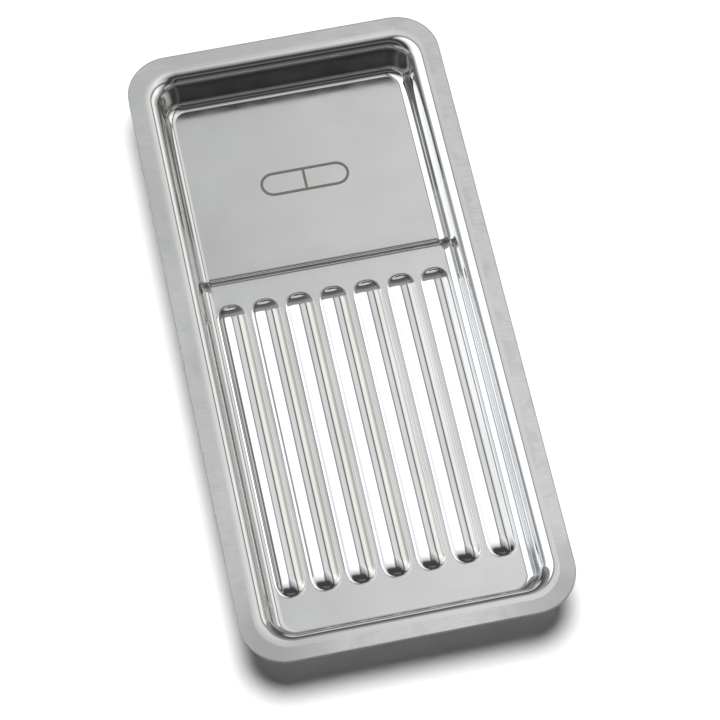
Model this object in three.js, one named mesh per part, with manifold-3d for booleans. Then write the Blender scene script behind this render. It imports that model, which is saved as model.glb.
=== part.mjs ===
// A pressed stainless steel instrument tray: a flat rim, a plain pocket at the far end, and a
// shallower floor with raised ribs at the near end. One sheet of steel is drawn to the whole shape,
// so every face underneath follows the face above it at the thickness of the sheet.
// Millimetres, +Z up. The origin is under the middle of the tray, at the level of its lowest face.

import * as THREE from 'three';
import { mergeVertices } from 'three/addons/utils/BufferGeometryUtils.js';
import Module from 'manifold-3d';

const wasm = await Module();
wasm.setup();

// ---- Driving dimensions ------------------------------------------------------------------------

const trayWidth = 95;
const trayLength = 200;
const sheet = 0.8;

// The flat rim, and the corners: the rim's outer corner, and the tighter one of the pocket's floor.
const rimWidth = 5.45;
const rimCornerRadius = 13;
const floorCornerRadius = 4;

// Depths from the top of the rim to the two floors.
const pocketDepth = 12.4;
const ribbedDepth = 9.6;

// The wall: a bend under the rim, a nearly upright flat, and a bend into the floor. Radii are those
// of the face that shows from above.
const wallAngle = THREE.MathUtils.degToRad(82);
const rimBend = 3.8;
const floorBend = 2.8;

// The step between the two floors.
const pocketLength = 58.1;
const stepAngle = THREE.MathUtils.degToRad(45);
const stepUpperBend = 2;
const stepLowerBend = 2.2;

// The raised ribs, side by side along the tray.
const ribCount = 7;
const ribHeight = 1.6;
const ribSpacing = 1.3;
const ribToSideWall = 0.2;
const ribToNearWall = 10;
const ribToStep = 6.5;

// A plain capsule outline, in two halves, marked on the pocket's floor.
const markLength = 27;
const markWidth = 8;
const markStroke = 0.8;
const markThickness = 0.1;
const markToStep = 28;

// How finely the round stretches are divided, and how far a cutting shape runs past what it cuts.
const cornerSteps = 6;
const bendSteps = 4;
const ribSides = 28;
const ribEndSteps = 5;
const overrun = 1;

// ---- Sizes that follow -------------------------------------------------------------------------

const rimTop = pocketDepth + sheet;
const pocketFloor = rimTop - pocketDepth;
const ribbedFloor = rimTop - ribbedDepth;

const pocketFloorInset = rimWidth + bendRun(pocketDepth, rimBend, floorBend, wallAngle);
const ribbedFloorInset = rimWidth + bendRun(ribbedDepth, rimBend, floorBend, wallAngle);

// A step too low for its two bends to turn all the way turns only as far as its height lets it.
const stepDrop = pocketDepth - ribbedDepth;
const stepTurn = Math.min(stepAngle, Math.acos(1 - stepDrop / (stepUpperBend + stepLowerBend)));
const stepRun = bendRun(stepDrop, stepUpperBend, stepLowerBend, stepTurn);
const stepLowerEdge = trayLength / 2 - pocketFloorInset - pocketLength;
const stepUpperEdge = stepLowerEdge - stepRun;

const ribFarEnd = stepUpperEdge - ribToStep;
const ribNearEnd = -trayLength / 2 + ribbedFloorInset + ribToNearWall;
const ribbedFloorWidth = trayWidth - 2 * ribbedFloorInset;
const ribPitch = (ribbedFloorWidth - 2 * ribToSideWall + ribSpacing) / ribCount;
const ribHalfWidth = (ribPitch - ribSpacing) / 2;
const ribRadius = (ribHalfWidth ** 2 + ribHeight ** 2) / (2 * ribHeight);

// ---- Materials ---------------------------------------------------------------------------------

const pressedSteel = new THREE.MeshStandardMaterial({ color: 0xc4c5c4, metalness: 1, roughness: 0.22 });
const etchedSteel = new THREE.MeshStandardMaterial({ color: 0x8c857d, metalness: 0.8, roughness: 0.55 });

// ---- Solids ------------------------------------------------------------------------------------

/** A closed three.js geometry as a solid that can be joined and cut. */
function toSolid(geometry) {
  geometry.deleteAttribute('normal');
  geometry.deleteAttribute('uv');
  const { attributes, index } = mergeVertices(geometry, 1e-5);
  return new wasm.Manifold(new wasm.Mesh({
    numProp: 3,
    vertProperties: Float32Array.from(attributes.position.array),
    triVerts: Uint32Array.from(index.array),
  }));
}

/** A joined or cut solid as a named mesh. */
function toMesh(solid, name, material) {
  const { vertProperties, triVerts } = solid.getMesh();
  const geometry = new THREE.BufferGeometry();
  geometry.setAttribute('position', new THREE.BufferAttribute(vertProperties, 3));
  geometry.setIndex(new THREE.BufferAttribute(triVerts, 1));
  const mesh = new THREE.Mesh(geometry.toNonIndexed(), material);
  mesh.geometry.computeVertexNormals();
  mesh.name = name;
  return mesh;
}

// ---- The bent sheet in side view ---------------------------------------------------------------

/** How far sheet travels sideways while it bends down by drop and back to level. */
function bendRun(drop, upperRadius, lowerRadius, angle) {
  const radii = upperRadius + lowerRadius;
  const flat = (drop - radii * (1 - Math.cos(angle))) / Math.sin(angle);
  return radii * Math.sin(angle) + flat * Math.cos(angle);
}

/** Points of that bend, from (0, 0) above to (run, -drop) below, on the face skin under the top. */
function bendPoints(drop, upperRadius, lowerRadius, angle, skin) {
  const run = bendRun(drop, upperRadius, lowerRadius, angle);
  const upper = upperRadius - skin;
  const lower = lowerRadius + skin;
  const points = [];
  for (let i = 0; i <= bendSteps; i++) {
    const turn = angle * i / bendSteps;
    points.push([upper * Math.sin(turn), upper * Math.cos(turn) - upperRadius]);
  }
  for (let i = bendSteps; i >= 0; i--) {
    const turn = angle * i / bendSteps;
    points.push([run - lower * Math.sin(turn), lowerRadius - drop - lower * Math.cos(turn)]);
  }
  return points;
}

// ---- Rounded forms -----------------------------------------------------------------------------

/** Corner radius of the tray's outline at a distance in from its outer edge. */
function cornerRadiusAt(inset) {
  return THREE.MathUtils.lerp(rimCornerRadius, floorCornerRadius, inset / pocketFloorInset);
}

/** A rounded rectangle, centred on the origin. */
function roundedRectangle(width, length, radius) {
  const x = width / 2 - radius;
  const y = length / 2 - radius;
  const shape = new THREE.Shape();
  shape.absarc(x, y, radius, 0, Math.PI / 2);
  shape.absarc(-x, y, radius, Math.PI / 2, Math.PI);
  shape.absarc(-x, -y, radius, Math.PI, 1.5 * Math.PI);
  shape.absarc(x, -y, radius, 1.5 * Math.PI, 2 * Math.PI);
  shape.closePath();
  return shape;
}

/**
 * The tray's outline raised through levels, each with its inset from the outer edge and its height,
 * lowest first. It is an extrusion whose every step is drawn in to its own level.
 */
function raisedOutline(levels) {
  const outline = roundedRectangle(trayWidth, trayLength, rimCornerRadius);
  const geometry = new THREE.ExtrudeGeometry(outline, {
    depth: 1,
    steps: levels.length - 1,
    bevelEnabled: false,
    curveSegments: cornerSteps,
  });
  const position = geometry.attributes.position;
  const drawIn = (value, half, level) => {
    const fromCentre = half - rimCornerRadius;
    const alongCorner = Math.max(Math.abs(value) - fromCentre, 0) / rimCornerRadius;
    const radius = cornerRadiusAt(level.inset);
    return Math.sign(value) * (half - level.inset - radius + radius * alongCorner);
  };
  for (let i = 0; i < position.count; i++) {
    const level = levels[Math.round(position.getZ(i) * (levels.length - 1))];
    const x = drawIn(position.getX(i), trayWidth / 2, level);
    const y = drawIn(position.getY(i), trayLength / 2, level);
    position.setXYZ(i, x, y, level.height);
  }
  return toSolid(geometry);
}

/** The space inside a wall that goes down to depth, on the face skin under the top, up to lid. */
function wellForm(depth, skin, lid) {
  const levels = bendPoints(depth, rimBend, floorBend, wallAngle, skin)
    .map(([run, rise]) => ({ inset: rimWidth + run, height: rimTop + rise }))
    .reverse();
  levels.push({ inset: rimWidth, height: lid });
  return raisedOutline(levels);
}

/** Everything on the pocket's side of the step, or everything on the ribs' side of it. */
function stepSide(skin, isPocketSide) {
  const step = bendPoints(stepDrop, stepUpperBend, stepLowerBend, stepTurn, skin)
    .map(([run, rise]) => new THREE.Vector2(stepUpperEdge + run, ribbedFloor + rise));
  const high = rimTop + 2 * overrun;
  const low = -overrun;
  const end = (trayLength / 2 + overrun) * (isPocketSide ? 1 : -1);
  const outline = [
    new THREE.Vector2(end, low),
    new THREE.Vector2(end, high),
    new THREE.Vector2(stepUpperEdge, high),
    ...step,
    new THREE.Vector2(stepLowerEdge, low),
  ];
  const geometry = new THREE.ExtrudeGeometry(new THREE.Shape(outline), {
    depth: trayWidth,
    bevelEnabled: false,
  });
  // The outline is drawn in side view: its x runs along the tray, its y upwards.
  geometry.applyMatrix4(new THREE.Matrix4().makeBasis(
    new THREE.Vector3(0, 1, 0),
    new THREE.Vector3(0, 0, 1),
    new THREE.Vector3(1, 0, 0),
  ));
  geometry.translate(-trayWidth / 2, 0, 0);
  return toSolid(geometry);
}

/** Both wells joined at the step, on the face skin under the top. */
function doubleWell(skin, lid) {
  const pocket = wellForm(pocketDepth, skin, lid).intersect(stepSide(skin, true));
  const ribbed = wellForm(ribbedDepth, skin, lid).intersect(stepSide(skin, false));
  return pocket.add(ribbed);
}

/** All the ribs' rounded tops or, at the thickness of the sheet below them, their hollow undersides. */
function ribForms(skin) {
  const radius = ribRadius - skin;
  const straight = ribFarEnd - ribNearEnd - 2 * ribHalfWidth;
  const middle = (ribFarEnd + ribNearEnd) / 2;
  let ribs = null;
  for (let i = 0; i < ribCount; i++) {
    const rib = new THREE.CapsuleGeometry(radius, straight, ribEndSteps, ribSides);
    rib.translate((i - (ribCount - 1) / 2) * ribPitch, middle, ribbedFloor + ribHeight - ribRadius);
    ribs = ribs ? ribs.add(toSolid(rib)) : toSolid(rib);
  }
  return ribs;
}

/** The block of space over the underside of the ribbed floor, where a rib's top may stand. */
function overRibbedFloor() {
  const height = rimTop - ribbedFloor + sheet;
  const block = new THREE.BoxGeometry(trayWidth, trayLength, height);
  block.translate(0, 0, ribbedFloor - sheet + height / 2);
  return toSolid(block);
}

// ---- Pieces ------------------------------------------------------------------------------------

function trayPan() {
  const rim = raisedOutline([
    { inset: 0, height: rimTop - sheet },
    { inset: 0, height: rimTop },
  ]);
  const plainPan = rim
    .add(doubleWell(sheet, rimTop - sheet / 2))
    .subtract(doubleWell(0, rimTop + overrun));
  const ribbedPan = plainPan
    .add(ribForms(0).intersect(overRibbedFloor()))
    .subtract(ribForms(sheet));
  return toMesh(ribbedPan, 'tray_pan', pressedSteel);
}

/** One half of the space inside the mark, to the left (-1) or to the right (+1) of its divider. */
function markHalf(side) {
  const radius = markWidth / 2 - markStroke;
  const arcCentre = side * (markLength - markWidth) / 2;
  const divider = side * markStroke / 2;
  const half = new THREE.Shape();
  half.absarc(arcCentre, 0, radius, -Math.PI / 2, Math.PI / 2, side < 0);
  half.lineTo(divider, radius);
  half.lineTo(divider, -radius);
  half.closePath();
  return half;
}

/** A flat outline raised from one height to another. */
function raised(shape, low, high) {
  const geometry = new THREE.ExtrudeGeometry(shape, {
    depth: high - low,
    bevelEnabled: false,
    curveSegments: cornerSteps,
  });
  geometry.translate(0, 0, low);
  return toSolid(geometry);
}

function etchedMark() {
  const radius = markWidth / 2;
  const arcCentre = (markLength - markWidth) / 2;
  const capsule = new THREE.Shape();
  capsule.absarc(arcCentre, 0, radius, -Math.PI / 2, Math.PI / 2);
  capsule.absarc(-arcCentre, 0, radius, Math.PI / 2, 1.5 * Math.PI);
  capsule.closePath();
  const mark = raised(capsule, 0, markThickness)
    .subtract(raised(markHalf(-1), -overrun, markThickness + overrun))
    .subtract(raised(markHalf(1), -overrun, markThickness + overrun));
  const mesh = toMesh(mark, 'etched_mark', etchedSteel);
  mesh.position.set(0, stepLowerEdge + markToStep, pocketFloor);
  return mesh;
}

const tray = new THREE.Group();
tray.add(trayPan());
tray.add(etchedMark());

export default tray;
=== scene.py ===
# %% [markdown]
# # A pressed stainless steel instrument tray
# The real tray is one sheet of stainless steel, pressed between two dies. It has a flat rim, a
# plain pocket at the far end and a shallower floor with seven raised ribs at the near end. This
# lesson builds its upper face as one smooth sheet, lets Geometry Nodes press the ribs into it,
# gives the sheet its thickness, and then works on the steel's finish, which is most of what the eye
# sees.

import math

import bpy
import numpy as np
from mathutils import Matrix, Vector


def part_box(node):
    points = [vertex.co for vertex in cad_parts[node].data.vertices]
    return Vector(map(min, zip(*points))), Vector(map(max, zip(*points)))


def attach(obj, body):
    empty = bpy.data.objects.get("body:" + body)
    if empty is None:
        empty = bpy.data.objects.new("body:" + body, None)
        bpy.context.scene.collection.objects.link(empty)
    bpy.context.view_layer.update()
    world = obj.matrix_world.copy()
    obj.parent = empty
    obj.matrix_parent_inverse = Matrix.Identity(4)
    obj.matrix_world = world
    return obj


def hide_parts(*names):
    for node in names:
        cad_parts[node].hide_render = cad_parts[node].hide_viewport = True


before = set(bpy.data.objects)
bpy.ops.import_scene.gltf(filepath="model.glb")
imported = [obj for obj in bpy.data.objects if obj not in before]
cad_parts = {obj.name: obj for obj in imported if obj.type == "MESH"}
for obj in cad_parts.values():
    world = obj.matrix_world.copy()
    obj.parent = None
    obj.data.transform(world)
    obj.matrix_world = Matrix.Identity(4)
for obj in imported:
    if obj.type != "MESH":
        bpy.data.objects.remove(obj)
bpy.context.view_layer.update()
MM = 0.001
pan_low, pan_high = (np.array(corner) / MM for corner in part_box("tray_pan"))
print("the tray is", (pan_high - pan_low).round(2), "mm")

# %% [markdown]
# ## Camera
# The tray lies flat and is seen from high in front, a little from the left, through a long lens,
# as small goods are usually shown. A long lens keeps the two sides almost parallel. The camera
# could be placed by its coordinates, but a distance, two angles and the point it looks at are
# easier to read and to change.

# %% Place the camera
CAMERA_DISTANCE = 0.9473
CAMERA_ELEVATION = math.radians(62.36)
CAMERA_TURN_LEFT = math.radians(11.72)
CAMERA_ROLL = math.radians(-0.2)
CAMERA_LENS = 165.3
CAMERA_AIM = Vector((0.0022, -0.0128, pan_high[2] * MM))


def look_from(azimuth, elevation):
    """The direction from a point towards something at that azimuth from -Y and that elevation."""
    flat = math.cos(elevation)
    return Vector((flat * math.sin(azimuth), -flat * math.cos(azimuth), math.sin(elevation)))


camera = bpy.data.objects.new("camera", bpy.data.cameras.new("camera"))
camera.data.lens = CAMERA_LENS
camera.data.sensor_width = 36
camera.data.clip_start = 0.05
bpy.context.collection.objects.link(camera)
towards_camera = look_from(-CAMERA_TURN_LEFT, CAMERA_ELEVATION)
turn = towards_camera.to_track_quat("Z", "Y").to_matrix() @ Matrix.Rotation(CAMERA_ROLL, 3, "Z")
camera.matrix_world = (
    Matrix.Translation(CAMERA_AIM + towards_camera * CAMERA_DISTANCE) @ turn.to_4x4()
)
bpy.context.scene.camera = camera
print("camera at", [round(c, 3) for c in camera.matrix_world.translation], "m")

# %% [markdown]
# ## The sizes of the pressing
# A press tool bends sheet in arcs joined by flats, because a sharp fold would tear the steel. The
# wall under the rim and the step between the two floors are the same shape in side view: an arc
# down, a flat, and an arc back to level. One function gives both, so the sizes below are all that
# tells them apart.

# %% Sizes in millimetres
TRAY_HALF = (pan_high - pan_low)[:2] / 2
RIM_TOP = pan_high[2]
SHEET = 0.8
RIM_WIDTH = 5.45
RIM_CORNER = 13.0
FLOOR_CORNER = 4.0
POCKET_DEPTH = RIM_TOP - SHEET
RIBBED_DEPTH = 9.6
WALL = dict(upper=3.8, lower=2.8, angle=math.radians(82))
STEP = dict(upper=2.0, lower=2.2, angle=math.radians(45))
POCKET_LENGTH = 58.1


# %% One bend of the sheet in side view
def bend_run(drop, upper, lower, angle):
    """How far the sheet travels sideways while it goes down by drop and back to level."""
    flat = (drop - (upper + lower) * (1 - math.cos(angle))) / math.sin(angle)
    return (upper + lower) * math.sin(angle) + flat * math.cos(angle)


def bend_point(drop, share, upper, lower, angle):
    """The point of the bend at a share of its way: 0 to 1 upper arc, 1 to 2 flat, 2 to 3 lower."""
    run = bend_run(drop, upper, lower, angle)
    arc_end = np.array((upper * math.sin(angle), upper * (math.cos(angle) - 1)))
    flat_end = np.array((run - lower * math.sin(angle), lower * (1 - math.cos(angle)) - drop))
    if share < 1:
        turned = angle * share
        return np.array((upper * math.sin(turned), upper * (math.cos(turned) - 1)))
    if share < 2:
        return arc_end + (flat_end - arc_end) * (share - 1)
    turned = angle * (3 - share)
    return np.array((run - lower * math.sin(turned), lower * (1 - math.cos(turned)) - drop))


POCKET_INSET = RIM_WIDTH + bend_run(POCKET_DEPTH, **WALL)
STEP_LOW_EDGE = TRAY_HALF[1] - POCKET_INSET - POCKET_LENGTH
STEP_HIGH_EDGE = STEP_LOW_EDGE - bend_run(POCKET_DEPTH - RIBBED_DEPTH, **STEP)
print("the step runs from y =", round(STEP_HIGH_EDGE, 2), "to", round(STEP_LOW_EDGE, 2), "mm")

# %% The depth of the floor along the tray
STEP_SHARES = np.linspace(0, 3, 31)
STEP_CURVE = np.array([bend_point(POCKET_DEPTH - RIBBED_DEPTH, s, **STEP) for s in STEP_SHARES])


def depth_at(y):
    """Depth of the floor below the rim, on the way from the ribs through the step to the pocket."""
    return RIBBED_DEPTH - np.interp(y - STEP_HIGH_EDGE, STEP_CURVE[:, 0], STEP_CURVE[:, 1])


floor_depths = depth_at(np.array((STEP_HIGH_EDGE, STEP_LOW_EDGE))).round(2)
print("floor depths:", floor_depths[0], "at the ribs and", floor_depths[1], "in the pocket")

# %% [markdown]
# ## The layout of the ribs
# Seven ribs stand side by side on the shallower floor. Their places follow from the width of that
# floor, so they are worked out before the mesh is made: the mesh needs its finest lines where the
# ribs bend.

# %% Rib sizes
RIB_COUNT = 7
RIB_HEIGHT = 1.6
RIB_ROOT_BEND = 1.0
RIB_SPACING = 1.3
RIB_TO_SIDE_WALL = 0.2
RIB_TO_NEAR_WALL = 10.0
RIB_TO_STEP = 6.5
RIB_END_LENGTH = 6.0
RIB_END_SQUARENESS = 2.3
RIB_END_EASING = 1.1

RIBBED_INSET = RIM_WIDTH + bend_run(RIBBED_DEPTH, **WALL)
ribs_width = 2 * (TRAY_HALF[0] - RIBBED_INSET - RIB_TO_SIDE_WALL)
RIB_PITCH = (ribs_width + RIB_SPACING) / RIB_COUNT
RIB_HALF_WIDTH = (RIB_PITCH - RIB_SPACING) / 2
RIB_FAR_END = STEP_HIGH_EDGE - RIB_TO_STEP
RIB_NEAR_END = -TRAY_HALF[1] + RIBBED_INSET + RIB_TO_NEAR_WALL
print(RIB_COUNT, "ribs,", round(RIB_PITCH, 3), "mm apart,", round(2 * RIB_HALF_WIDTH, 2), "mm wide")


# %% Mesh lines, close together where the sheet bends
def spaced(stops, gaps):
    """Numbers from the first stop to the last, with about the given gap between each two stops."""
    parts = [
        np.linspace(a, b, max(1, math.ceil((b - a) / gap - 1e-6)), endpoint=False)
        for a, b, gap in zip(stops, stops[1:], gaps)
    ]
    return np.concatenate([*parts, stops[-1:]])


BEND_GAP, CROWN_GAP, BETWEEN_GAP = 0.2, 0.42, 0.65
END_GAP, END_MARGIN, FLAT_GAP = 0.33, 0.6, 6
NEAR_FLOOR_GAP, STEP_SIDE_GAP = 1.5, 2
SNUG = 0.1
half = RIB_HALF_WIDTH
crown_half = half - half * RIB_ROOT_BEND * 2 * RIB_HEIGHT / (half**2 + RIB_HEIGHT**2)
one_rib = spaced(
    [-half, -crown_half, crown_half, half, RIB_PITCH - half],
    [BEND_GAP, CROWN_GAP, BEND_GAP, BETWEEN_GAP],
)
rib_middles = [RIB_PITCH * (i - (RIB_COUNT - 1) / 2) for i in range(RIB_COUNT)]
cross_lines = np.unique(np.concatenate([one_rib + middle for middle in rib_middles]).round(4))
CORNER_CENTRE = TRAY_HALF - POCKET_INSET - FLOOR_CORNER
end_x = CORNER_CENTRE[0]
inner_x = np.concatenate([[-end_x], cross_lines[abs(cross_lines) < end_x - SNUG], [end_x]])
inner_y = spaced(
    [-CORNER_CENTRE[1], RIB_NEAR_END - END_MARGIN, RIB_NEAR_END + RIB_END_LENGTH,
     RIB_FAR_END - RIB_END_LENGTH, RIB_FAR_END + END_MARGIN, STEP_HIGH_EDGE, STEP_LOW_EDGE,
     CORNER_CENTRE[1]],
    [NEAR_FLOOR_GAP, END_GAP, FLAT_GAP, END_GAP, STEP_SIDE_GAP, BEND_GAP, FLAT_GAP],
)
print(len(inner_x), "lines across the floor and", len(inner_y), "along it")

# %% [markdown]
# ## The upper face of the sheet
# The face could be cut from solids, but boolean cuts leave long thin triangles, and polished steel
# shows every one of them. Here it is drawn as rings of four-sided faces that follow the rim, the
# bends and the wall, and a plain grid fills the floor inside them. Each ring keeps the rounded
# corners, which tighten from the rim to the floor.


# %% Rings from the outer edge to the floor
def corner_radius(inset):
    """The outline's corner radius at an inset: tight on the floor, and a point further in."""
    if inset > POCKET_INSET:
        return max(FLOOR_CORNER - (inset - POCKET_INSET), 0.0)
    return RIM_CORNER + (FLOOR_CORNER - RIM_CORNER) * inset / POCKET_INSET


wall_shares = np.concatenate(
    [np.linspace(0, 1, 11), np.linspace(1, 2, 5)[1:], np.linspace(2, 3, 11)[1:]]
)
CORNER_STEPS = 12
rim_insets = [0.0, 0.3, 2.0, 4.0]
outer_rib_lines = TRAY_HALF[0] - cross_lines[cross_lines > CORNER_CENTRE[0] + SNUG][::-1]
print(len(rim_insets) + len(wall_shares), "rings down to the floor,", len(outer_rib_lines), "on it")


# %% The stations round one ring
def ring_stations():
    """For every point round a ring: which corner it belongs to, where on its straight side (-1 to 1
    of the way between corners) and the direction it faces."""
    stations = []
    xs, ys = inner_x / CORNER_CENTRE[0], inner_y / CORNER_CENTRE[1]
    quarter = np.linspace(0, math.pi / 2, CORNER_STEPS + 1)[1:-1]

    def corner(x, y, start):
        return [(x, y, math.cos(start + a), math.sin(start + a)) for a in quarter]

    stations += [(1.0, y, 1.0, 0.0) for y in ys] + corner(1.0, 1.0, 0)
    stations += [(x, 1.0, 0.0, 1.0) for x in xs[::-1]] + corner(-1.0, 1.0, math.pi / 2)
    stations += [(-1.0, y, -1.0, 0.0) for y in ys[::-1]] + corner(-1.0, -1.0, math.pi)
    stations += [(x, -1.0, 0.0, -1.0) for x in xs] + corner(1.0, -1.0, 1.5 * math.pi)
    return np.array(stations)


STATIONS = ring_stations()


def ring_points(inset, height):
    """One ring at an inset from the outer edge. Height is a number or a function of y."""
    radius = corner_radius(inset)
    centre = TRAY_HALF - inset - radius
    flat = STATIONS[:, :2] * centre + STATIONS[:, 2:] * radius
    z = height(flat[:, 1]) if callable(height) else np.full(len(flat), height)
    return np.column_stack([flat, z])


print(len(STATIONS), "points round each ring")


# %% Every ring, with the wall as deep as the floor beside it
def wall_ring(share):
    """A ring down the wall. Its run and its drop follow the depth of the floor at each point."""
    outline = ring_points(RIM_WIDTH, RIM_TOP)
    depths = depth_at(outline[:, 1])
    ways = {depth: bend_point(depth, share, **WALL) for depth in np.unique(depths)}
    points = np.empty_like(outline)
    for depth, (run, rise) in ways.items():
        here = depths == depth
        points[here] = ring_points(RIM_WIDTH + run, RIM_TOP + rise)[here]
    return points


def floor_height(y):
    return RIM_TOP - depth_at(y)


floor_insets = [*outer_rib_lines, POCKET_INSET + FLOOR_CORNER]
floor_insets = [inset for inset in floor_insets if inset > POCKET_INSET + SNUG]
rings = [ring_points(inset, RIM_TOP) for inset in rim_insets]
rings += [wall_ring(share) for share in wall_shares]
rings += [ring_points(inset, floor_height) for inset in floor_insets]
print(len(rings), "rings")

# %% How far the die has polished each part of the face
FLOOR_POLISH = 0.25
rim_and_wall_polish = [0.0] * len(rim_insets) + [1.0] * len(wall_shares)


def floor_polish(y):
    """The floors are satin, and the step between them is burnished like the walls."""
    on_step = (y > STEP_HIGH_EDGE + 0.01) & (y < STEP_LOW_EDGE - 0.01)
    return np.where(on_step, 1.0, FLOOR_POLISH)


print("polish on the floors", FLOOR_POLISH, "and on the rim", rim_and_wall_polish[0])


# %% Join the rings and the floor's grid into one face
def quads_between(first, second):
    """Faces between two closed rings of point numbers."""
    return np.column_stack([first, np.roll(first, -1), np.roll(second, -1), second])


def sheet_mesh(name):
    count = len(STATIONS)
    numbers = [np.arange(count) + i * count for i in range(len(rings))]
    faces = [quads_between(a, b) for a, b in zip(numbers, numbers[1:])]
    grid_x, grid_y = np.meshgrid(inner_x, inner_y, indexing="ij")
    grid = np.column_stack([grid_x.ravel(), grid_y.ravel(), floor_height(grid_y.ravel())])
    index = np.arange(grid_x.size).reshape(grid_x.shape) + len(rings) * count
    faces.append(
        np.column_stack(
            [index[:-1, :-1].ravel(), index[1:, :-1].ravel(), index[1:, 1:].ravel(),
             index[:-1, 1:].ravel()]
        )
    )
    mesh = bpy.data.meshes.new(name)
    points = np.concatenate([*rings, grid]) * MM
    mesh.from_pydata(points.tolist(), [], np.concatenate(faces).tolist())
    polish = mesh.attributes.new("polish", "FLOAT", "POINT")
    floor_y = [ring[:, 1] for ring in rings[len(rim_and_wall_polish) :]] + [grid[:, 1]]
    values = np.concatenate(
        [np.repeat(rim_and_wall_polish, count), floor_polish(np.concatenate(floor_y))]
    )
    polish.data.foreach_set("value", values)
    cut = mesh.attributes.new("cut_edge", "FLOAT", "POINT")
    cut.data.foreach_set("value", (np.arange(len(points)) < count).astype(float))
    return mesh


pan = bpy.data.objects.new("pressed_pan", sheet_mesh("pressed_pan"))
bpy.context.collection.objects.link(pan)
print(len(pan.data.polygons), "faces before the doubled points are merged")

# %% Merge the doubled points at the corners and where the grid meets the last ring
import bmesh

SAME_POINT = 0.004
work = bmesh.new()
work.from_mesh(pan.data)
bmesh.ops.remove_doubles(work, verts=work.verts, dist=SAME_POINT * MM)
bmesh.ops.recalc_face_normals(work, faces=work.faces)
highest = max(work.faces, key=lambda f: f.calc_center_median().z)
if highest.normal.z < 0:
    bmesh.ops.reverse_faces(work, faces=work.faces)
open_edges = sum(1 for e in work.edges if e.is_boundary)
work.to_mesh(pan.data)
work.free()
print(len(pan.data.polygons), "faces;", open_edges, "open edges, all round the rim's outer edge")

# %% [markdown]
# ## Pressing the ribs
# On the real tray a die with seven grooves presses all the ribs in one stroke. Geometry Nodes do
# the same here: one rule, repeated at a pitch, lifts every point that lies on a rib. The rule is a
# crown arc that meets the floor in a small root bend, and a rounded end that runs out over its own
# length. The count, pitch, width, height and ends are inputs, so the same press makes another tray.

# %% Helpers for building a node tree
def make(tree, kind, **settings):
    """A node of a kind with its settings given by name."""
    node = tree.nodes.new(kind)
    for key, value in settings.items():
        setattr(node, key, value)
    return node


def feed(tree, socket, value):
    """Give a socket a number, a colour, a vector, or the output of another node."""
    if isinstance(value, bpy.types.NodeSocket):
        tree.links.new(value, socket)
    else:
        socket.default_value = (*value, 1) if socket.type == "RGBA" else value


def math_node(tree, operation, *inputs):
    """A math node whose inputs are sockets or numbers. It returns its output socket."""
    node = make(tree, "ShaderNodeMath", operation=operation)
    for socket, value in zip(node.inputs, inputs):
        feed(tree, socket, value)
    return node.outputs[0]


print("helpers for nodes:", ", ".join(helper.__name__ for helper in (make, feed, math_node)))


# %% The section of a rib as nodes
def rib_lift(m, away, half, height, root):
    """How far the press lifts a point. A crown arc meets the floor in a root bend."""

    def arc_rise(radius, sideways):
        squared = m("SUBTRACT", m("MULTIPLY", radius, radius), m("MULTIPLY", sideways, sideways))
        return m("SQRT", m("MAXIMUM", squared, 0))

    squares = m("ADD", m("MULTIPLY", half, half), m("MULTIPLY", height, height))
    both = m("DIVIDE", squares, m("MULTIPLY", height, 2))
    crown = m("SUBTRACT", both, root)
    on_crown = m("ADD", m("SUBTRACT", height, crown), arc_rise(crown, away))
    on_root = m("SUBTRACT", root, arc_rise(root, m("SUBTRACT", half, away)))
    is_crown = m("LESS_THAN", away, m("DIVIDE", m("MULTIPLY", half, crown), both))
    is_rib = m("LESS_THAN", away, half)
    lift = m("ADD", m("MULTIPLY", on_crown, is_crown),
             m("MULTIPLY", on_root, m("SUBTRACT", 1, is_crown)))
    return m("MULTIPLY", lift, is_rib), is_rib


def rib_distance(m, given, x, y):
    """How far a point is from the middle line of its rib, counting its rounded ends."""
    middle = m("MULTIPLY", m("SUBTRACT", given["Count"], 1), 0.5)
    number = m("ROUND", m("ADD", m("DIVIDE", x, given["Pitch"]), middle))
    number = m("MINIMUM", m("MAXIMUM", number, 0), m("SUBTRACT", given["Count"], 1))
    aside = m("SUBTRACT", x, m("MULTIPLY", m("SUBTRACT", number, middle), given["Pitch"]))
    end = given["End length"]
    past_far = m("SUBTRACT", y, m("SUBTRACT", given["Far end"], end))
    past_near = m("SUBTRACT", m("ADD", given["Near end"], end), y)
    past = m("MAXIMUM", m("MAXIMUM", past_far, past_near), 0)
    past = m("POWER", m("DIVIDE", past, end), given["End easing"])
    past = m("MULTIPLY", past, given["Half width"])
    power = given["End squareness"]
    away = m("ADD", m("POWER", m("ABSOLUTE", aside), power), m("POWER", past, power))
    return m("POWER", away, m("DIVIDE", 1, power))


print("a rib has a crown arc of", RIB_HEIGHT, "mm and a root bend at each side")


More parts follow.
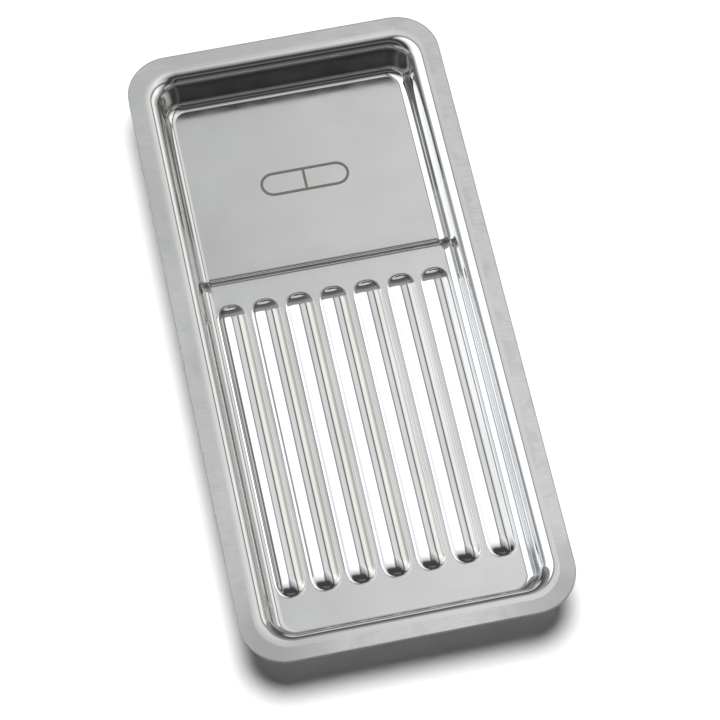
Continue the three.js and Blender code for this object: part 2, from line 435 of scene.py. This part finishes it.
# %% The press as a node tree
def rib_press():
    tree = bpy.data.node_groups.new("press the ribs", "GeometryNodeTree")
    join = tree.links.new
    add_socket = tree.interface.new_socket
    add_socket("Geometry", in_out="INPUT", socket_type="NodeSocketGeometry")
    add_socket("Geometry", in_out="OUTPUT", socket_type="NodeSocketGeometry")
    for name in ("Count", "Pitch", "Half width", "Height", "Root bend", "Near end", "Far end",
                 "End length", "End squareness", "End easing"):
        add_socket(name, in_out="INPUT", socket_type="NodeSocketFloat")
    add_socket("Steel", in_out="INPUT", socket_type="NodeSocketMaterial")
    given = make(tree, "NodeGroupInput").outputs
    place = make(tree, "ShaderNodeSeparateXYZ")
    join(make(tree, "GeometryNodeInputPosition").outputs[0], place.inputs[0])

    def m(operation, *inputs):
        return math_node(tree, operation, *inputs)

    away = rib_distance(m, given, place.outputs["X"], place.outputs["Y"])
    lift, is_rib = rib_lift(m, away, given["Half width"], given["Height"], given["Root bend"])
    raise_by = make(tree, "ShaderNodeCombineXYZ")
    join(lift, raise_by.inputs["Z"])
    pressed = make(tree, "GeometryNodeSetPosition")
    join(given["Geometry"], pressed.inputs["Geometry"])
    join(raise_by.outputs[0], pressed.inputs["Offset"])

    # Pressed steel slides along the die, which polishes it.
    polish = make(tree, "GeometryNodeInputNamedAttribute", data_type="FLOAT")
    polish.inputs["Name"].default_value = "polish"
    store = make(tree, "GeometryNodeStoreNamedAttribute", data_type="FLOAT", domain="POINT")
    store.inputs["Name"].default_value = "polish"
    join(pressed.outputs[0], store.inputs["Geometry"])
    join(m("MAXIMUM", polish.outputs[0], is_rib), store.inputs["Value"])

    realize = make(tree, "GeometryNodeRealizeInstances")
    finish = make(tree, "GeometryNodeSetMaterial")
    join(store.outputs[0], realize.inputs[0])
    join(realize.outputs[0], finish.inputs["Geometry"])
    join(given["Steel"], finish.inputs["Material"])
    join(finish.outputs[0], make(tree, "NodeGroupOutput").inputs[0])
    return tree


press_tree = rib_press()
print("the press has", len(press_tree.nodes), "nodes")

# %% Press the ribs and keep the result as a plain mesh
steel = bpy.data.materials.new("pressed_steel")
press = pan.modifiers.new("press the ribs", "NODES")
press.node_group = press_tree
rib_inputs = {
    "Count": float(RIB_COUNT),
    "Pitch": RIB_PITCH * MM,
    "Half width": RIB_HALF_WIDTH * MM,
    "Height": RIB_HEIGHT * MM,
    "Root bend": RIB_ROOT_BEND * MM,
    "Near end": float(RIB_NEAR_END * MM),
    "Far end": float(RIB_FAR_END * MM),
    "End length": RIB_END_LENGTH * MM,
    "End squareness": RIB_END_SQUARENESS,
    "End easing": RIB_END_EASING,
    "Steel": steel,
}
for item in press_tree.interface.items_tree:
    if item.name in rib_inputs and item.in_out == "INPUT":
        value = rib_inputs[item.name]
        press[item.identifier] = value if item.name == "Steel" else float(value)
evaluated = pan.evaluated_get(bpy.context.evaluated_depsgraph_get())
pressed_mesh = bpy.data.meshes.new_from_object(evaluated)
pan.modifiers.remove(press)
pan.data = pressed_mesh
heights = [v.co.z for v in pan.data.vertices if abs(v.co.x) < half * MM and abs(v.co.y) < half * MM]
print("the middle rib's top is", round(max(heights) / MM, 2), "mm above the table")

# %% [markdown]
# ## The thickness of the sheet
# The underside of a pressing follows its upper face at the thickness of the sheet. Solidify does
# exactly that. The cut edge round the rim is then eased a little, as a tumbled or wiped edge is, so
# that it catches a thin line of light.

# %% Thicken the sheet and ease its cut edge
EDGE_EASING = 0.1
SHARP = math.radians(70)
thicken = pan.modifiers.new("sheet", "SOLIDIFY")
thicken.thickness = SHEET * MM
thicken.offset = -1
thicken.use_even_offset = True
ease = pan.modifiers.new("eased edge", "BEVEL")
ease.width = EDGE_EASING * MM
ease.segments = 2
ease.limit_method = "ANGLE"
ease.angle_limit = SHARP
evaluated = pan.evaluated_get(bpy.context.evaluated_depsgraph_get())
pan_mesh = bpy.data.meshes.new_from_object(evaluated)
pan.modifiers.clear()
pan.data = pan_mesh
pan.data.name = "pressed_pan"
pan.data.shade_smooth()
pan_mesh.calc_loop_triangles()
print("the pan has", len(pan_mesh.loop_triangles), "triangles")

# %% Put the pan in the tray's frame
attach(pan, "root")
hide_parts("tray_pan")
print("the pan stands for tray_pan")

# %% [markdown]
# ## The steel
# The rim and the floors keep the soft satin of cold rolled sheet, with faint brushing and stains.
# The bends, walls and ribs are burnished by the die until they mirror the room. One material can
# carry both: the "polish" value stored on the mesh makes it smoother where the die has rubbed, and
# the "cut_edge" value makes it dull where the sheet was sheared. That edge is also darkened in
# colour, which is partly dull sheared steel and partly painted shade, and the rim's near corners
# carry painted shade.


# %% More helpers, for finishes
def map_range(tree, value, low, high, to_low=0.0, to_high=1.0, soft=False):
    """Carries a value from one range to another, evenly or with a soft start and end."""
    node = make(tree, "ShaderNodeMapRange")
    node.interpolation_type = "SMOOTHSTEP" if soft else "LINEAR"
    feed(tree, node.inputs["Value"], value)
    ends = {"From Min": low, "From Max": high, "To Min": to_low, "To Max": to_high}
    for name, number in ends.items():
        node.inputs[name].default_value = number
    return node.outputs[0]


MIX_SOCKETS = {"FLOAT": (2, 3, 0), "RGBA": (6, 7, 2)}


def blend(tree, share, first, second, kind="RGBA"):
    """A colour, or with FLOAT a number, on the way from the first to the second."""
    node = make(tree, "ShaderNodeMix", data_type=kind)
    first_input, second_input, result = MIX_SOCKETS[kind]
    feed(tree, node.inputs["Factor"], share)
    feed(tree, node.inputs[first_input], first)
    feed(tree, node.inputs[second_input], second)
    return node.outputs[result]


def noise(tree, scale, detail, stretch=(1, 1, 1)):
    """A cloudy pattern fixed to the object, finer for a larger scale or stretch."""
    mapping = make(tree, "ShaderNodeMapping")
    mapping.inputs["Scale"].default_value = stretch
    tree.links.new(make(tree, "ShaderNodeTexCoord").outputs["Object"], mapping.inputs["Vector"])
    texture = make(tree, "ShaderNodeTexNoise")
    texture.inputs["Scale"].default_value = scale
    texture.inputs["Detail"].default_value = detail
    tree.links.new(mapping.outputs[0], texture.inputs["Vector"])
    return texture.outputs["Fac"]


print("helpers for finishes:", ", ".join(helper.__name__ for helper in (map_range, blend, noise)))

# %% What the steel's finish follows
ON_FLOORS = 0.12
steel.use_nodes = True
steel_tree = steel.node_tree
steel_shader = steel_tree.nodes["Principled BSDF"]
steel_shader.inputs["Metallic"].default_value = 1.0
polish = make(steel_tree, "ShaderNodeAttribute", attribute_name="polish").outputs["Fac"]
cut_edge = make(steel_tree, "ShaderNodeAttribute", attribute_name="cut_edge").outputs["Fac"]
on_rim = map_range(steel_tree, polish, 0, 0.2, 1, ON_FLOORS)
blotches = noise(steel_tree, scale=38, detail=3)
clouds = noise(steel_tree, scale=150, detail=5)
brushing = noise(steel_tree, scale=330, detail=5, stretch=(1, 7, 1))
print("the brushing is full on the rim and", ON_FLOORS, "on the floors")

# %% How smooth: satin, a mirror where polished, dull on the sheared edge
SATIN = (0.19, 0.29)
SATIN_CLOUDS = 0.04
POLISHED = 0.045
SHEARED = 0.5
satin = math_node(
    steel_tree, "ADD", map_range(steel_tree, blotches, 0.3, 0.7, *SATIN),
    map_range(steel_tree, clouds, 0.3, 0.7, -SATIN_CLOUDS, SATIN_CLOUDS),
)
roughness = blend(steel_tree, polish, satin, POLISHED, "FLOAT")
roughness = blend(steel_tree, cut_edge, roughness, SHEARED, "FLOAT")
steel_tree.links.new(roughness, steel_shader.inputs["Roughness"])
print("roughness", SATIN, "satin,", POLISHED, "polished and", SHEARED, "on the sheared edge")

# %% What colour: a neutral grey with darker stains and brush marks, painted shade at the rim's near corners, and a darker cut edge that is partly painted shade
STEEL_DARK, STEEL_LIGHT = (0.595, 0.598, 0.595), (0.655, 0.657, 0.655)
STAIN, BRUSH_MARK = (0.5, 0.5, 0.495), (0.53, 0.53, 0.525)
CORNER_SHADE, CUT_EDGE_SHADE = (0.44, 0.44, 0.435), (0.22, 0.22, 0.22)
# Painted shade at the two near corners of the rim: its middle, and where it is full and where it is
# gone.
CORNER_SHADE_AT = (41 * MM, -95 * MM)
CORNER_SHADE_FULL, CORNER_SHADE_GONE = 4 * MM, 22 * MM


def painted_corner_shade(tree):
    """Painted shade: 1 at the two near corners of the rim, where the steel is darkened as if it
    mirrored a darker room, and 0 away from them.
    """
    place = make(tree, "ShaderNodeSeparateXYZ")
    tree.links.new(make(tree, "ShaderNodeTexCoord").outputs["Object"], place.inputs[0])
    aside = math_node(tree, "ABSOLUTE", place.outputs["X"])
    aside = math_node(tree, "SUBTRACT", aside, CORNER_SHADE_AT[0])
    along = math_node(tree, "SUBTRACT", place.outputs["Y"], CORNER_SHADE_AT[1])
    squares = [math_node(tree, "POWER", distance, 2) for distance in (aside, along)]
    distance = math_node(tree, "SQRT", math_node(tree, "ADD", *squares))
    return map_range(tree, distance, CORNER_SHADE_FULL, CORNER_SHADE_GONE, 1, 0)


colour = blend(steel_tree, map_range(steel_tree, blotches, 0.3, 0.7), STEEL_DARK, STEEL_LIGHT)
for amount, darker in (
    (map_range(steel_tree, clouds, 0.5, 0.72, 0, 0.6), STAIN),
    (map_range(steel_tree, brushing, 0.4, 0.75, 0, 0.5), BRUSH_MARK),
    # The near corners of the rim get painted shade, not a stain.
    (painted_corner_shade(steel_tree), CORNER_SHADE),
):
    colour = blend(steel_tree, math_node(steel_tree, "MULTIPLY", amount, on_rim), colour, darker)
# The cut edge is darkened: partly dull sheared steel, partly painted shade of the shadowed floor it
# mirrors.
colour = blend(steel_tree, cut_edge, colour, CUT_EDGE_SHADE)
steel_tree.links.new(colour, steel_shader.inputs["Base Color"])
print("grey from", STEEL_DARK[0], "to", STEEL_LIGHT[0])


# %% How it undulates: slow waves, draw marks where polished, and brushing on the rim
def relief(tree, height, strength, distance, under=None):
    """Bumps of a height in metres, laid over the bumps under them."""
    bump = make(tree, "ShaderNodeBump")
    bump.inputs["Strength"].default_value = strength
    bump.inputs["Distance"].default_value = distance
    tree.links.new(height, bump.inputs["Height"])
    if under is not None:
        tree.links.new(under, bump.inputs["Normal"])
    return bump.outputs[0]


waves = noise(steel_tree, scale=48, detail=1)
draw_marks = noise(steel_tree, scale=700, detail=2, stretch=(1, 0.03, 1))
draw_marks = math_node(steel_tree, "MULTIPLY", draw_marks, polish)
brushed = math_node(steel_tree, "MULTIPLY", brushing, on_rim)
surface = relief(steel_tree, waves, strength=0.25, distance=0.3 * MM)
surface = relief(steel_tree, draw_marks, strength=0.08, distance=0.04 * MM, under=surface)
surface = relief(steel_tree, brushed, strength=0.09, distance=0.02 * MM, under=surface)
steel_tree.links.new(surface, steel_shader.inputs["Normal"])
print("steel:", len(steel_tree.nodes), "nodes")

# %% [markdown]
# ## The etched mark
# A plain capsule outline is marked on the pocket's floor, where a maker puts a mark. Laser etching
# leaves the steel dull and brown-grey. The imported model's own solid has the right shape, so it only
# gets a finish.

# %% The etched steel
ETCHED_DARK, ETCHED_LIGHT = (0.14, 0.12, 0.106), (0.26, 0.228, 0.206)
ETCHED_METAL = 0.6
ETCHED_ROUGHNESS = (0.45, 0.7)
etched = bpy.data.materials.new("etched_steel")
etched.use_nodes = True
etched_tree = etched.node_tree
etched_shader = etched_tree.nodes["Principled BSDF"]
etched_shader.inputs["Metallic"].default_value = ETCHED_METAL
specks = noise(etched_tree, scale=1800, detail=3)
etched_colour = blend(etched_tree, specks, ETCHED_DARK, ETCHED_LIGHT)
etched_tree.links.new(etched_colour, etched_shader.inputs["Base Color"])
dullness = map_range(etched_tree, specks, 0, 1, *ETCHED_ROUGHNESS)
etched_tree.links.new(dullness, etched_shader.inputs["Roughness"])
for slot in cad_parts["etched_mark"].material_slots:
    slot.material = etched
print("etched:", len(etched_tree.nodes), "nodes")

# %% [markdown]
# ## Floor and light
# Polished steel has almost no colour of its own: it looks like what stands round it. A studio puts
# large white cards to the left and right, a dimmer one overhead, and leaves the camera's side dark,
# which draws the dark lines that give the metal its shape. The cards are painted into the world by
# direction, so that they never get between the tray and a camera at another angle. One large soft
# light, which the steel doesn't mirror, brightens the floor evenly and casts the soft shadow.

# %% A plain white floor
FLOOR_SIZE = 8.0
FLOOR_BELOW = 0.05
WHITE_PAPER = (0.9, 0.9, 0.905)
floor_mesh = bpy.data.meshes.new("floor")
side = FLOOR_SIZE / 2
floor_mesh.from_pydata(
    [(-side, -side, 0), (side, -side, 0), (side, side, 0), (-side, side, 0)], [], [(0, 1, 2, 3)]
)
floor = bpy.data.objects.new("floor", floor_mesh)
floor.location.z = -FLOOR_BELOW * MM
bpy.context.collection.objects.link(floor)
paper = bpy.data.materials.new("white_paper")
paper.use_nodes = True
paper_inputs = paper.node_tree.nodes["Principled BSDF"].inputs
paper_inputs["Base Color"].default_value = (*WHITE_PAPER, 1)
paper_inputs["Roughness"].default_value = 0.9
paper_inputs["Specular IOR Level"].default_value = 0.1
floor_mesh.materials.append(paper)
print("floor", FLOOR_SIZE, "m wide")

# %% A big soft light that the steel doesn't mirror
LIGHT_STRENGTH = 4.25
LIGHT_SPREAD = math.radians(38)
LIGHT_AZIMUTH = math.radians(168)
LIGHT_ELEVATION = math.radians(68)
soft_light = bpy.data.lights.new("soft light", "SUN")
soft_light.energy = LIGHT_STRENGTH
soft_light.angle = LIGHT_SPREAD
soft_light.color = (1, 0.995, 0.985)
lamp = bpy.data.objects.new("soft light", soft_light)
towards_lamp = look_from(LIGHT_AZIMUTH, LIGHT_ELEVATION)
lamp.matrix_world = towards_lamp.to_track_quat("Z", "Y").to_matrix().to_4x4()
lamp.visible_glossy = False
bpy.context.collection.objects.link(lamp)
print("the light comes from", [round(c, 2) for c in towards_lamp])

# %% [markdown]
# ## The studio that the steel mirrors
# Two angles say where a direction points. "Across" is the turn about the tray's length: 0 is up and
# 90 is right. "Along" is the tilt towards the far end: 0 is up and 90 is the far end. Each list
# gives an angle and the brightness there, as a grey or as a colour, and the light changes smoothly
# from one to the next. A cool card stands on the left and a warm one on the right, because that
# small difference is what makes steel look like steel and not like grey paint.

# %% The cards from left to right
CARDS_ACROSS = [
    # A big cool card on the left, dark towards the ground.
    (-98, 0.4), (-86, 0.45), (-74, (0.75, 0.76, 0.78)), (-66, (1.4, 1.43, 1.48)),
    (-58, (2.1, 2.15, 2.25)), (-8, (2.1, 2.15, 2.2)), (-5, (1.2, 1.24, 1.32)),
    # A narrow dark gap, then the dim card overhead, then a wider gap.
    (-2.5, (0.36, 0.38, 0.4)), (1, 0.42), (4, 0.85), (9, 1.06), (24, 1.18), (30, 0.98),
    (33, 0.25), (38, 0.25),
    # A warm card on the right.
    (41, (1.35, 1.34, 1.3)), (56, (1.6, 1.58, 1.52)), (64, (1.2, 1.18, 1.12)),
    (74, (0.8, 0.78, 0.75)), (84, (0.45, 0.44, 0.42)), (98, 0.35),
]
print(len(CARDS_ACROSS), "stops across")

# %% The same cards and the room from near to far
CARDS_ALONG = [
    (-17, 0.06), (-12, 0.18), (-7, 0.42), (1, 0.62), (8, 0.8), (15, 1.0), (21, 1.14),
    (27, 1.0), (34, 0.92),
]
# Past the cards at the far end: a grey wall, a dark gap, a bright strip and the dark ground.
FAR_WALL = [
    (34, 0.95), (37, 0.45), (45, 0.42), (51, 0.22), (66, 0.1), (71, 0.75), (79, 1.1),
    (84, 0.25), (90, 0.1),
]
# The dark room on the near side, with one dim warm strip in it and the pale ground below.
NEAR_ROOM = [
    (-90, 0.8), (-86, 0.6), (-83, 0.14), (-62, 0.12), (-57, 0.04), (-47, 0.05),
    (-42, (0.22, 0.215, 0.205)), (-36, (0.2, 0.195, 0.185)), (-31, 0.07), (-14, 0.09),
]
FAR_WALL_STARTS = (34, 38)
NEAR_ROOM_ENDS = (-17, -12)
print(len(CARDS_ALONG), "stops along,", len(FAR_WALL), "at the far end,", len(NEAR_ROOM), "near")

# %% How the cards reach round, and the plain parts of the room
# The cards on the right reach further round towards the near side, those on the left less far.
# Past an angle across, each degree counts as a share of a degree along.
RIGHT_REACH = dict(past=12, share=0.8, most=16)
LEFT_REACH = dict(past=-5, share=0.25)
# The room is lighter low down, and most of all to the sides. Heights and distances aside are those
# of a direction: 0 is level or straight ahead, and 1 is straight up or straight to the side.
ROOM_LOW_DOWN, LOW_DOWN = (0.25, 0.25, 0.245), (0.1, 0.4)
ROOM_ASIDE, FAR_ASIDE, NOT_HIGH = (0.55, 0.55, 0.54), (0.35, 0.65), (0.3, 0.5)
# What lights the dull parts, and what stands behind the floor.
PLAIN_ROOM = (0.05, 0.05, 0.049)
BACKDROP = (0.98, 0.98, 0.985)
print("the right-hand cards reach", RIGHT_REACH["most"], "degrees nearer at most")

# %% Colours from a list of stops
BRIGHTEST = 2.5
WIDEST = 100


def cards(tree, angle, stops):
    """Colours that follow an angle in degrees. A colour ramp holds 0 to 1, so both are scaled."""
    ramp = make(tree, "ShaderNodeValToRGB")
    elements = ramp.color_ramp.elements
    share = [(place + WIDEST) / (2 * WIDEST) for place, _ in stops]
    for position in share[2:]:
        elements.new(position)
    for element, position, (_, colour) in zip(elements, share, stops):
        element.position = position
        tones = colour if isinstance(colour, tuple) else (colour,) * 3
        element.color = (*(tone / BRIGHTEST for tone in tones), 1)
    angle = math_node(tree, "DIVIDE", math_node(tree, "ADD", angle, WIDEST), 2 * WIDEST)
    tree.links.new(angle, ramp.inputs["Fac"])
    return scaled(tree, ramp.outputs["Color"], BRIGHTEST)


def scaled(tree, colour, factor):
    """A colour times a number, which may be brighter than white."""
    node = make(tree, "ShaderNodeVectorMath", operation="SCALE")
    tree.links.new(colour, node.inputs[0])
    node.inputs["Scale"].default_value = factor
    return node.outputs[0]


print("the brightest card is", max(max(np.ravel(tone)) for _, tone in CARDS_ACROSS))


# %% The studio
def studio_world():
    world = bpy.data.worlds.new("studio")
    world.use_nodes = True
    tree = world.node_tree
    tree.nodes.clear()

    def m(operation, *inputs):
        return math_node(tree, operation, *inputs)

    def rise(value, low, high, to_low=0.0, to_high=1.0):
        return map_range(tree, value, low, high, to_low, to_high, soft=True)

    way = make(tree, "ShaderNodeSeparateXYZ")
    tree.links.new(make(tree, "ShaderNodeTexCoord").outputs["Generated"], way.inputs[0])
    x, y, z = (way.outputs[axis] for axis in "XYZ")
    across = m("DEGREES", m("ARCTAN2", x, z))
    along = m("DEGREES", m("ARCSINE", y))

    right = m("MAXIMUM", m("SUBTRACT", across, RIGHT_REACH["past"]), 0)
    right = m("MINIMUM", m("MULTIPLY", right, RIGHT_REACH["share"]), RIGHT_REACH["most"])
    left = m("MINIMUM", m("SUBTRACT", across, LEFT_REACH["past"]), 0)
    left = m("MULTIPLY", left, LEFT_REACH["share"])
    lit = m("ADD", along, m("ADD", right, left))

    room = cards(tree, lit, NEAR_ROOM)
    room = blend(tree, rise(z, *LOW_DOWN), ROOM_LOW_DOWN, room)
    low_aside = m("MULTIPLY", rise(m("ABSOLUTE", x), *FAR_ASIDE), rise(z, *NOT_HIGH, 1, 0))
    room = blend(tree, low_aside, room, ROOM_ASIDE)

    sky = make(tree, "ShaderNodeVectorMath", operation="MULTIPLY")
    tree.links.new(cards(tree, across, CARDS_ACROSS), sky.inputs[0])
    tree.links.new(cards(tree, lit, CARDS_ALONG), sky.inputs[1])
    far_wall = cards(tree, along, FAR_WALL)
    mirrored = blend(tree, rise(along, *FAR_WALL_STARTS), sky.outputs[0], far_wall)
    mirrored = blend(tree, rise(lit, *NEAR_ROOM_ENDS), room, mirrored)

    path = make(tree, "ShaderNodeLightPath")
    plain = blend(tree, path.outputs["Is Camera Ray"], PLAIN_ROOM, BACKDROP)
    seen = blend(tree, path.outputs["Is Glossy Ray"], plain, mirrored)
    background = make(tree, "ShaderNodeBackground")
    tree.links.new(seen, background.inputs["Color"])
    output = make(tree, "ShaderNodeOutputWorld")
    tree.links.new(background.outputs[0], output.inputs["Surface"])
    return world


bpy.context.scene.world = studio_world()
bpy.context.scene.view_settings.view_transform = "Standard"
print("studio:", len(bpy.context.scene.world.node_tree.nodes), "nodes")
